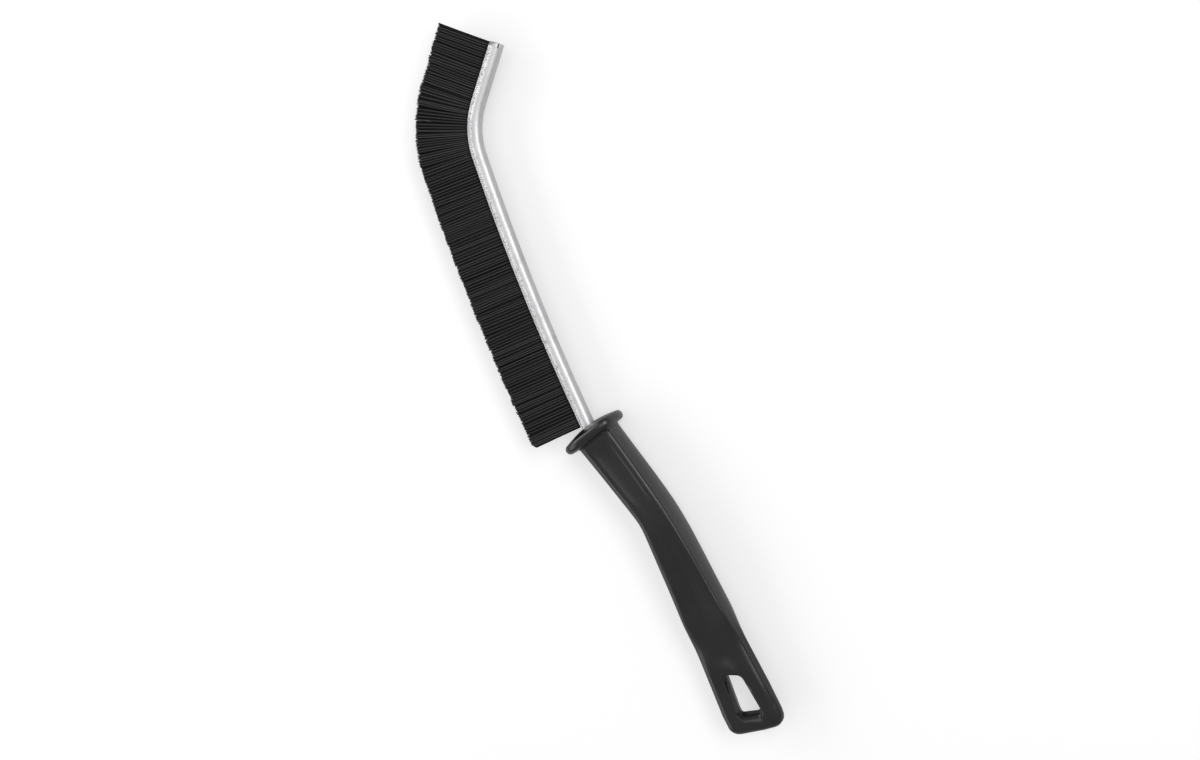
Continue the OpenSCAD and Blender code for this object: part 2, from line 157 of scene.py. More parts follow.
class Graph:
    """The node graph of one material or world, built by plain calls."""

    def __init__(self, owner: Union[bpy.types.Material, bpy.types.World]) -> None:
        """Empties the owner's node tree.

        Args:
            owner: The material or world that holds the tree.
        """
        owner.use_nodes = True
        self.tree = owner.node_tree
        self.tree.nodes.clear()

    def add(
        self, kind: str, settings: dict[str, Any] | None = None, inputs: dict[Any, Any] | None = None
    ) -> bpy.types.Node:
        """Adds a node, its settings first and its sockets after them.

        Args:
            kind: The node's type name.
            settings: The node's own settings, such as a Math node's operation.
            inputs: Socket names or numbers, with the values or links they take.

        Returns:
            The node.
        """
        node = self.tree.nodes.new(kind)
        for name, value in (settings or {}).items():
            setattr(node, name, value)
        for name, value in (inputs or {}).items():
            if isinstance(value, Value):
                value = value.socket
            if isinstance(value, bpy.types.NodeSocket):
                self.tree.links.new(value, node.inputs[name])
            else:
                node.inputs[name].default_value = value
        return node

    def position(self) -> bpy.types.NodeSocket:
        """Returns the object coordinates."""
        return self.add("ShaderNodeTexCoord").outputs["Object"]

    def noise(self, pattern: Pattern) -> Value:
        """Adds a noise texture on the object coordinates.

        Args:
            pattern: Its scale, its detail, its stretch and its turn.

        Returns:
            The noise as a value between 0 and 1.
        """
        lay = {"Vector": self.position(), "Rotation": (0, 0, pattern.turn), "Scale": pattern.stretch}
        where = self.add("ShaderNodeMapping", {}, lay).outputs[0]
        inputs = {
            "Vector": where,
            "Scale": pattern.scale,
            "Detail": pattern.detail,
            "Roughness": pattern.rough,
        }
        return Value(self, self.add("ShaderNodeTexNoise", {}, inputs).outputs[0])

    def ramp(self, value: Value, over: Span) -> Value:
        """Stretches a value over a span, with a soft step.

        Args:
            value: The value.
            over: What becomes 0 and what becomes 1.

        Returns:
            The stretched value.
        """
        settings = {"interpolation_type": "SMOOTHSTEP"}
        inputs = {"Value": value, "From Min": over[0], "From Max": over[1]}
        return Value(self, self.add("ShaderNodeMapRange", settings, inputs).outputs[0])

    def measure(self, operation: str, first: bpy.types.NodeSocket, second: Triple) -> Value:
        """Adds a Vector Math node that gives one number.

        Args:
            operation: The node's operation.
            first: The first vector.
            second: The second vector.

        Returns:
            The number.
        """
        node = self.add("ShaderNodeVectorMath", {"operation": operation}, {0: first, 1: second})
        return Value(self, node.outputs["Value"])

    def spot(self, centre: Triple, r: float, full: float) -> Value:
        """Marks a round spot on the piece.

        Args:
            centre: The spot's centre.
            r: The distance at which it ends.
            full: The share of r within which it is at full strength.

        Returns:
            The spot's strength, 1 in its middle and 0 outside.
        """
        return self.ramp(self.measure("DISTANCE", self.position(), centre), (r, r * full))

    def blend(self, share: Value, first: Tint, second: Tint) -> bpy.types.NodeSocket:
        """Mixes two colours.

        Args:
            share: How much of the second colour there is.
            first: The first colour, or the link to it.
            second: The second colour, or the link to it.

        Returns:
            The mixed colour.
        """
        ends = [(*c, 1.0) if isinstance(c, tuple) else c for c in (first, second)]
        node = self.add("ShaderNodeMix", {"data_type": "RGBA"}, {0: share, 6: ends[0], 7: ends[1]})
        return node.outputs[2]

    def bump(self, height: Value, strength: float, distance: float) -> bpy.types.NodeSocket:
        """Turns a height into a normal.

        Args:
            height: The height.
            strength: How strongly it shows.
            distance: How far full height stands out, in metres.

        Returns:
            The normal.
        """
        inputs = {"Height": height, "Strength": strength, "Distance": distance}
        return self.add("ShaderNodeBump", {}, inputs).outputs[0]

    def surface(self, inputs: dict[str, Any]) -> None:
        """Ends a material's graph in one Principled surface.

        Args:
            inputs: The surface's sockets.
        """
        shader = self.add("ShaderNodeBsdfPrincipled", {}, inputs)
        self.add("ShaderNodeOutputMaterial", {}, {"Surface": shader.outputs[0]})


# Finishes


@dataclass(frozen=True)
class MouldedPlastic:
    """Dark satin plastic: fine mould grain, faint flow streaks, a few scuffs and a rubbed spot."""

    name: str = "moulded_plastic"
    colour: Colour = (0.0070, 0.0071, 0.0074)
    tone_swing: float = 0.18
    tone_over: Span = (0.25, 0.75)
    worn: Colour = (0.048, 0.049, 0.051)
    roughness: float = 0.28
    tone_rough: float = 0.10
    worn_rough: float = 0.18
    ior: float = 1.50
    specular: float = 0.85
    bump: float = 0.35
    bump_height: float = 0.06 * MM
    clouds: Pattern = Pattern(55.0, 4.0, 0.55)
    flow: Pattern = Pattern(620.0, 2.0, stretch=(0.10, 1.0, 1.0), turn=0.06)
    grain: Pattern = Pattern(5200.0, 2.0)
    dust: Pattern = Pattern(1500.0, 5.0, 0.7)
    dust_over: Span = (0.62, 0.70)
    dust_wear: float = 0.30
    scuffs: Pattern = Pattern(1300.0, 3.0, 0.6, stretch=(1.0, 0.16, 0.16), turn=0.5)
    scuffs_over: Span = (0.67, 0.73)
    scuffs_where: Span = (0.50, 0.62)
    scuffs_wear: float = 0.35
    smudge_at: Triple = (-0.1146, -0.0055, 0.0133)
    smudge_r: float = 5.2 * MM
    smudge_full: float = 0.1
    smudge_where: Span = (0.38, 0.62)
    smudge_wear: float = 0.95

    def material(self) -> bpy.types.Material:
        """Makes the material.

        Returns:
            The finish as a material.
        """
        made = bpy.data.materials.new(self.name)
        graph = Graph(made)
        clouds, flow, grain = (graph.noise(p) for p in (self.clouds, self.flow, self.grain))
        specks = graph.ramp(graph.noise(self.dust), self.dust_over)
        scratches = graph.ramp(graph.noise(self.scuffs), self.scuffs_over)
        scratches = scratches * graph.ramp(clouds, self.scuffs_where)
        smudge = graph.spot(self.smudge_at, self.smudge_r, self.smudge_full)
        smudge = smudge * graph.ramp(clouds, self.smudge_where)
        wear = specks * self.dust_wear + scratches * self.scuffs_wear + smudge * self.smudge_wear
        wear = wear.at_most(1.0)
        tone = graph.ramp(clouds * 0.7 + flow * 0.3, self.tone_over)
        dark, light = (
            tuple((1.0 + swing) * c for c in self.colour) for swing in (-self.tone_swing, self.tone_swing)
        )
        height = grain * 0.55 + flow * 0.30 + clouds * 0.15
        graph.surface({
            "Base Color": graph.blend(wear, graph.blend(tone, dark, light), self.worn),
            "Roughness": self.roughness + (tone - 0.5) * self.tone_rough + wear * self.worn_rough,
            "Normal": graph.bump(height, self.bump, self.bump_height),
            "IOR": self.ior,
            "Specular IOR Level": self.specular,
        })
        return made


@dataclass(frozen=True)
class RolledSteel:
    """Bright rolled strip: streaks along the run, fine speckle, dull clouds and painted shade at its pressed
    end.
    """

    name: str = "rolled_steel"
    colour: Colour = (0.83, 0.83, 0.84)
    dull: Colour = (0.30, 0.30, 0.31)
    roughness: float = 0.43
    speckle: float = 0.90
    streak_rough: float = 0.12
    dull_rough: float = 0.10
    bump: float = 0.30
    bump_height: float = 0.04 * MM
    streaks: Pattern = Pattern(2600.0, 2.0, stretch=(0.06, 1.0, 1.0), turn=0.06)
    specks: Pattern = Pattern(1700.0, 3.0, 0.65)
    specks_over: Span = (0.50, 0.64)
    clouds: Pattern = Pattern(160.0)
    clouds_over: Span = (0.45, 0.75)
    clouds_dull: float = 0.20
    fill_side: Triple = (0.34, 0.94, 0.0)
    wall_over: Span = (0.06, 0.20)
    back_share: float = 0.12
    # Painted shade: a dull spot at the pressed end, standing in for the shade of the dent there.
    pressed_shade_at: Triple = (0.0, 0.0, 1.0)
    pressed_shade_r: float = 2.7 * MM
    pressed_shade_full: float = 0.85
    pressed_shade_strength: float = 0.8

    def material(self) -> bpy.types.Material:
        """Makes the material, whose speckle is denser where the crimping wheel marked the walls.

        Returns:
            The finish as a material.
        """
        made = bpy.data.materials.new(self.name)
        graph = Graph(made)
        streaks, specks, clouds = (graph.noise(p) for p in (self.streaks, self.specks, self.clouds))
        normal = graph.add("ShaderNodeTexCoord").outputs["Normal"]
        wall = graph.ramp(graph.measure("DOT_PRODUCT", normal, self.fill_side), self.wall_over)
        spots = graph.ramp(specks, self.specks_over) * (self.back_share + wall * (1.0 - self.back_share))
        # Painted shade at the pressed end, which pulls the colour towards the dull one.
        pressed = graph.spot(self.pressed_shade_at, self.pressed_shade_r, self.pressed_shade_full)
        cloudy = graph.ramp(clouds, self.clouds_over)
        tone = spots * self.speckle + cloudy * self.clouds_dull + pressed * self.pressed_shade_strength
        tone = tone.at_most(1.0)
        height = streaks * 0.45 + specks * 0.55
        graph.surface({
            "Base Color": graph.blend(tone, self.colour, self.dull),
            "Metallic": 1.0,
            "Roughness": self.roughness + streaks * self.streak_rough + tone * self.dull_rough,
            "Normal": graph.bump(height, self.bump, self.bump_height),
        })
        return made


@dataclass(frozen=True)
class Nylon:
    """Dark satin filament: its tone varies from strand to strand, and painted shade darkens it at its root.
    """

    name: str = "filament_nylon"
    dark: Colour = (0.0022, 0.0022, 0.0024)
    light: Colour = (0.0780, 0.0780, 0.0800)
    roughness: float = 0.42
    grain_rough: float = 0.14
    ior: float = 1.50
    specular: float = 0.16
    bump: float = 0.20
    bump_height: float = 0.03 * MM
    grain: Pattern = Pattern(4200.0, 2.0)
    # Painted shade at the root: where it fades out along the strand, and how dark it leaves the root.
    root_shade_over: Span = (0.0, 0.12)
    root_shade_floor: float = 0.25

    def material(self) -> bpy.types.Material:
        """Makes the material, which reads place along the strand and tone from its UV map.

        Returns:
            The finish as a material.
        """
        made = bpy.data.materials.new(self.name)
        graph = Graph(made)
        chart = graph.add("ShaderNodeUVMap", {"uv_map": STRAND_CHART}).outputs[0]
        parts = graph.add("ShaderNodeSeparateXYZ", {}, {0: chart})
        along, tone = Value(graph, parts.outputs[0]), Value(graph, parts.outputs[1])
        grain = graph.noise(self.grain)
        # Painted shade: each strand darkens towards its root, down in the fill.
        lit = self.root_shade_floor + graph.ramp(along, self.root_shade_over) * (1.0 - self.root_shade_floor)
        share = (tone * 0.85 + grain * 0.15) * lit
        graph.surface({
            "Base Color": graph.blend(share, self.dark, self.light),
            "Roughness": self.roughness + grain * self.grain_rough,
            "Normal": graph.bump(grain, self.bump, self.bump_height),
            "IOR": self.ior,
            "Specular IOR Level": self.specular,
        })
        return made


@dataclass(frozen=True)
class PaleFloor:
    """Pale studio floor: white to the camera with its shadow kept, and lifted in reflections."""

    name: str = "pale_floor"
    colour: Colour = (0.68, 0.68, 0.68)
    lift: float = 0.49
    gloss_lift: float = 0.08

    def material(self) -> bpy.types.Material:
        """Makes the material.

        Returns:
            The finish as a material.
        """
        made = bpy.data.materials.new(self.name)
        graph = Graph(made)
        path = graph.add("ShaderNodeLightPath")
        seen = Value(graph, path.outputs["Is Camera Ray"]) * self.lift
        mirrored = Value(graph, path.outputs["Is Glossy Ray"]) * self.gloss_lift
        matt = graph.add("ShaderNodeBsdfDiffuse", {}, {"Color": (*self.colour, 1.0)})
        lift = graph.add("ShaderNodeEmission", {}, {"Color": (1, 1, 1, 1), "Strength": seen + mirrored})
        both = graph.add("ShaderNodeAddShader", {}, {0: matt.outputs[0], 1: lift.outputs[0]})
        graph.add("ShaderNodeOutputMaterial", {}, {"Surface": both.outputs[0]})
        return made


# Helpers for pieces


def deselect() -> None:
    """Deselects every object, in object mode."""
    if bpy.context.object and bpy.context.object.mode != "OBJECT":
        bpy.ops.object.mode_set(mode="OBJECT")
    bpy.ops.object.select_all(action="DESELECT")


def pick(obj: bpy.types.Object) -> None:
    """Selects one object alone and makes it the active one.

    Args:
        obj: The object.
    """
    deselect()
    obj.select_set(True)
    bpy.context.view_layer.objects.active = obj


def dress(obj: bpy.types.Object, finish: bpy.types.Material, smooth_deg: float | None = None) -> None:
    """Gives an object one material and, if asked, smooth faces.

    Args:
        obj: The object.
        finish: The material.
        smooth_deg: Faces that meet at less than this angle are shaded smooth.
    """
    obj.data.materials.clear()
    obj.data.materials.append(finish)
    if smooth_deg is not None:
        pick(obj)
        bpy.ops.object.shade_smooth_by_angle(angle=math.radians(smooth_deg))
        deselect()


def smooth_copy(
    node: str, finish: bpy.types.Material, smooth_deg: float,
    shape: Callable[[bpy.types.Object], None] | None = None,
) -> bpy.types.Object:
    """Dresses a merged copy of a CAD node, which stands in for the node.

    Args:
        node: The node's name.
        finish: The material.
        smooth_deg: Faces that meet at less than this angle are shaded smooth.
        shape: Work on the copy's mesh in edit mode.

    Returns:
        The copy.
    """
    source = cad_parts[node]
    piece = bpy.data.objects.new(f"{node}_finished", source.data.copy())
    piece.matrix_world = source.matrix_world
    bpy.context.scene.collection.objects.link(piece)
    pick(piece)
    bpy.ops.object.transform_apply(location=True, rotation=True, scale=True)
    bpy.ops.object.mode_set(mode="EDIT")
    bpy.ops.mesh.select_all(action="SELECT")
    bpy.ops.mesh.remove_doubles(threshold=MERGE_GAP)
    bpy.ops.mesh.normals_make_consistent(inside=False)
    if shape:
        shape(piece)
    bpy.ops.object.mode_set(mode="OBJECT")
    dress(piece, finish, smooth_deg)
    pick(piece)
    bpy.ops.object.modifier_add(type="WEIGHTED_NORMAL")
    piece.modifiers[-1].keep_sharp = True
    bpy.ops.object.modifier_apply(modifier=piece.modifiers[-1].name)
    deselect()
    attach(piece, "root")
    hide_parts(node)
    return piece


def settle(obj: bpy.types.Object, name: str) -> bpy.types.Object:
    """Names a new piece, puts its place into its mesh and turns its faces outwards.

    Args:
        obj: The piece.
        name: Its name.

    Returns:
        The piece.
    """
    pick(obj)
    obj.name = name
    obj.data.name = name
    bpy.ops.object.transform_apply(location=True, rotation=True, scale=True)
    bpy.ops.object.mode_set(mode="EDIT")
    bpy.ops.mesh.select_all(action="SELECT")
    bpy.ops.mesh.normals_make_consistent(inside=False)
    bpy.ops.object.mode_set(mode="OBJECT")
    deselect()
    return obj


def take_shape(obj: bpy.types.Object) -> Shape:
    """Reads the shape of a modelled object and removes the object.

    Args:
        obj: The object.

    Returns:
        Its points and its faces.
    """
    points = np.array([v.co[:] for v in obj.data.vertices])
    faces = [tuple(p.vertices) for p in obj.data.polygons]
    bpy.data.objects.remove(obj)
    return points, faces


@dataclass
class Copies:
    """Copies of one modelled shape, gathered into one mesh."""

    shape: Shape
    points: list[Vector] = field(default_factory=list)
    faces: list[tuple[int, ...]] = field(default_factory=list)

    def add(self, place: Callable[[Sequence[float]], Vector]) -> None:
        """Adds one copy.

        Args:
            place: Says where each of the shape's points goes.
        """
        base = len(self.points)
        self.points.extend(place(point) for point in self.shape[0])
        self.faces.extend(tuple(base + j for j in face) for face in self.shape[1])

    def piece(self, name: str) -> bpy.types.Object:
        """Makes one object of all the copies.

        Args:
            name: The object's name.

        Returns:
            The object.
        """
        mesh = bpy.data.meshes.new(name)
        mesh.from_pydata(self.points, [], self.faces)
        made = bpy.data.objects.new(name, mesh)
        bpy.context.scene.collection.objects.link(made)
        return made


# The brush


@dataclass
class CoreLine:
    """The line of the core wire: straight out of the guard, long curve, bend and straight tip."""

    heel_run: float = 4.2 * MM
    long_r: float = 890 * MM
    long_turn: float = 6.8
    land: float = 0.5 * MM
    bend_r: float = 28.5 * MM
    bend_turn: float = 39.2
    tip_run: float = 22.3 * MM
    tail_len: float = 12 * MM
    lip_reach: float = 2.45 * MM
    wall_lean: float = 18.0
    home: Vector = field(init=False)

    def __post_init__(self) -> None:
        """Finds the line's start from the channel's box, and where each of its parts begins."""
        low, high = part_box("channel")
        self.home = Vector((low.x + self.tail_len, high.y - self.lip_reach, (low.z + high.z) / 2))
        self.long_end = self.heel_run + self.long_r * math.radians(self.long_turn)
        self.bend_start = self.long_end + self.land
        self.bend_end = self.bend_start + self.bend_r * math.radians(self.bend_turn)
        self.length = self.bend_end + self.tip_run
        self.long_pose = self._go((0.0, 0.0, 0.0), self.heel_run)
        self.land_pose = self._turn(self.long_pose, self.long_r, self.long_turn)
        self.bend_pose = self._go(self.land_pose, self.land)
        self.tip_pose = self._turn(self.bend_pose, self.bend_r, self.bend_turn)

    @staticmethod
    def _go(pose: Triple, distance: float) -> Triple:
        """Returns the pose straight ahead at a distance."""
        a = math.radians(pose[2])
        return pose[0] + distance * math.cos(a), pose[1] + distance * math.sin(a), pose[2]

    @staticmethod
    def _turn(pose: Triple, r: float, degrees: float) -> Triple:
        """Returns the pose after a clockwise turn.

        Args:
            pose: Where the turn starts.
            r: The turn's radius.
            degrees: The turn's angle.

        Returns:
            Where the turn ends.
        """
        a, b = math.radians(pose[2]), math.radians(pose[2] - degrees)
        x = pose[0] + r * (math.sin(a) - math.sin(b))
        y = pose[1] - r * (math.cos(a) - math.cos(b))
        return x, y, pose[2] - degrees

    def pose(self, s: float) -> Triple:
        """Finds the pose on the line.

        Args:
            s: The distance in front of the guard's middle.

        Returns:
            X and Y from the line's start, and the heading in degrees.
        """
        if s < self.heel_run:
            return self._go((0.0, 0.0, 0.0), s)
        if s < self.long_end:
            return self._turn(self.long_pose, self.long_r, math.degrees((s - self.heel_run) / self.long_r))
        if s < self.bend_start:
            return self._go(self.land_pose, s - self.long_end)
        if s < self.bend_end:
            return self._turn(self.bend_pose, self.bend_r, math.degrees((s - self.bend_start) / self.bend_r))
        return self._go(self.tip_pose, s - self.bend_end)

    def point(self, s: float, n: float) -> Vector:
        """Finds a point beside the line.

        Args:
            s: Its distance along the line.
            n: Its distance from the line, towards the filaments.

        Returns:
            The point.
        """
        x, y, heading = self.pose(s)
        a = math.radians(heading)
        return self.home + Vector((x - n * math.sin(a), y + n * math.cos(a), 0.0))

    def frame_at(self, s: float) -> Matrix:
        """Finds the frame on the line, with X along it, Y towards the filaments and Z up.

        Args:
            s: The distance along the line.

        Returns:
            The frame, as a matrix.
        """
        x, y, heading = self.pose(s)
        turn = Matrix.Rotation(math.radians(heading), 4, "Z")
        return Matrix.Translation(self.home + Vector((x, y, 0))) @ turn


@dataclass
class Handle:
    """The moulded handle in its CAD shape, with its scoops and its butt's spine corner eased."""

    finish: MouldedPlastic = MouldedPlastic()
    smooth_deg: float = 30
    scoop: Span = (-0.116, -0.046)
    scoop_facing: float = 0.93
    scoop_passes: int = 12
    corner: Pair = (-0.1371, -0.0176)
    corner_reaches: tuple[float, ...] = (10.0 * MM, 8.0 * MM, 6.5 * MM, 5.0 * MM)
    corner_passes: int = 3
    slot_side: Pair = (-0.1358, -0.0118)

    def build(self) -> None:
        """Dresses the handle and eases its scoops and its corner."""
        plastic = self.finish.material()
        piece = smooth_copy("handle", plastic, self.smooth_deg, self._ease)
        log.info("%s dressed in %s", piece.name, self.finish.name)

    def _ease(self, piece: bpy.types.Object) -> None:
        """Smooths the skin inside the scoops and, in rings that close in, round the butt's corner.

        Args:
            piece: The handle's copy, in edit mode.
        """
        self._smooth(piece, self.scoop_passes, self._in_scoop)
        for reach in self.corner_reaches:
            self._smooth(piece, self.corner_passes, lambda v: self._near_corner(v, reach))

    def _in_scoop(self, v: bmesh.types.BMVert) -> bool:
        """Returns whether a point lies on a scoop's face."""
        return self.scoop[0] < v.co.x < self.scoop[1] and abs(v.normal.z) > self.scoop_facing

    def _near_corner(self, v: bmesh.types.BMVert, reach: float) -> bool:
        """Returns whether a point lies within reach of the butt's corner and clear of the slot."""
        clear = v.co.x < self.slot_side[0] or v.co.y < self.slot_side[1]
        return clear and math.dist(v.co.xy, self.corner) < reach

    @staticmethod
    def _smooth(piece: bpy.types.Object, passes: int, chosen: Callable[[bmesh.types.BMVert], bool]) -> None:
        """Smooths some of a mesh's points.

        Args:
            piece: The piece, in edit mode.
            passes: How often they are smoothed.
            chosen: Says whether a point is one of them.
        """
        mesh = bmesh.from_edit_mesh(piece.data)
        mesh.normal_update()
        for v in mesh.verts:
            v.select = chosen(v)
        mesh.select_flush(True)
        bmesh.update_edit_mesh(piece.data)
        bpy.ops.mesh.vertices_smooth(factor=0.5, repeat=passes)


@dataclass
class Channel:
    """The folded channel in its CAD shape, with the crimping marks along both lips, coloured dark as painted
    shade of the pits.
    """

    core: CoreLine
    finish: RolledSteel = RolledSteel()
    wire_finish: RolledSteel = RolledSteel("drawn_wire", (0.60, 0.60, 0.61), (0.42, 0.42, 0.43), 0.34, 0.3)
    # Dark steel on the marks: painted shade standing in for the shaded pits that the crimping wheel pressed.
    mark_shade_finish: RolledSteel = RolledSteel("crimp_pit_shade_steel", (0.20, 0.20, 0.21), (0.10, 0.10, 0.11), 0.45, 0.5)
    smooth_deg: float = 32
    wire_smooth_deg: float = 40
    pressed_shade_reach: float = 1.6 * MM
    outer_r: float = 2.5 * MM
    mark_pitch: float = 0.76 * MM
    mark_len: float = 0.40 * MM
    mark_width: float = 0.40 * MM
    mark_rise: float = 0.05 * MM
    mark_sink: float = 0.03 * MM
    mark_taper: float = 0.6
    mark_rows: Pair = (2.12 * MM, 1.68 * MM)
    marks_start: float = 3.2 * MM
    marks_clear: float = 1.9 * MM

    def build(self) -> None:
        """Dresses the channel and its wire, and lays the marks along the lips."""
        # The painted shade of the pressed end is centred just inside the strip's tip.
        pressed_shade_at = tuple(self.core.point(self.core.length, self.pressed_shade_reach))
        steel = replace(self.finish, pressed_shade_at=pressed_shade_at).material()
        smooth_copy("channel", steel, self.smooth_deg)
        dress(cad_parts["core_wire"], self.wire_finish.material(), self.wire_smooth_deg)
        # The marks take the dark steel, as painted shade of the pits.
        crimp_pit_shade = self.mark_shade_finish.material()
        mark = self._one_mark()
        for wall in Wall:
            row = self._marks(wall, mark)
            dress(row, crimp_pit_shade)
            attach(row, "root")
            log.info("%s has %d marks", row.name, len(row.data.polygons) // len(mark[1]))

    def _one_mark(self) -> Shape:
        """Models one raised mark, between the dents that the crimping wheel pressed.

        Returns:
            Its points and its faces.
        """
        deselect()
        bpy.ops.mesh.primitive_cube_add(size=1.0)
        mark = bpy.context.object
        mark.scale = (self.mark_len, self.mark_width, self.mark_rise + self.mark_sink)
        bpy.ops.object.transform_apply(location=False, rotation=False, scale=True)
        for v in mark.data.vertices:
            if v.co.z > 0:
                v.co.x *= self.mark_taper
                v.co.y *= self.mark_taper
            v.co.z += (self.mark_rise - self.mark_sink) / 2
        return take_shape(mark)

    def _marks(self, wall: Wall, mark: Shape) -> bpy.types.Object:
        """Copies the mark in a zigzag along one lip.

        Args:
            wall: The wall that the marks lie on.
            mark: The modelled mark.

        Returns:
            The row of marks, as one piece.
        """
        lean = math.radians(self.core.wall_lean)
        count = int((self.core.length - self.marks_clear - self.marks_start) / self.mark_pitch)
        copies = Copies(mark)
        for i in range(count):
            for k, n in enumerate(self.mark_rows):
                s = self.marks_start + (i + 0.5 * k) * self.mark_pitch
                z = (self.outer_r - n * math.sin(lean)) / math.cos(lean)
                place = (
                    self.core.frame_at(s)
                    @ Matrix.Translation((0, n, z * wall.value))
                    @ Matrix.Rotation(-lean * wall.value, 4, "X")
                    @ Matrix.Diagonal((1, 1, wall.value, 1))
                )
                copies.add(lambda point: place @ Vector(point))
        return settle(copies.piece("marks"), f"crimp_marks_{wall.name.lower()}")


@dataclass(frozen=True)
class Clump:
    """Filaments whose tips gather: their place, their lean and how much shorter they are."""

    start: float
    stop: float
    lean: float
    short: float


@dataclass(frozen=True)
class Strand:
    """The course of one strand, from its root in the fold to its tip."""

    foot: Matrix
    root: float
    reach: float
    z: Pair
    lean: float
    lean_power: float
    thick: float
    spin: float

    def at(self, point: Sequence[float]) -> Vector:
        """Lays a point of the modelled strand on the course.

        Args:
            point: The point, on a strand that is 1 long and 1 thick.

        Returns:
            Its place.
        """
        x, y, t = point
        c, w = math.cos(self.spin) * self.thick, math.sin(self.spin) * self.thick
        return self.foot @ Vector((
            x * c - y * w + self.lean * t ** self.lean_power,
            self.root + (self.reach - self.root) * t,
            self.z[0] + (self.z[1] - self.z[0]) * t + x * w + y * c,
        ))


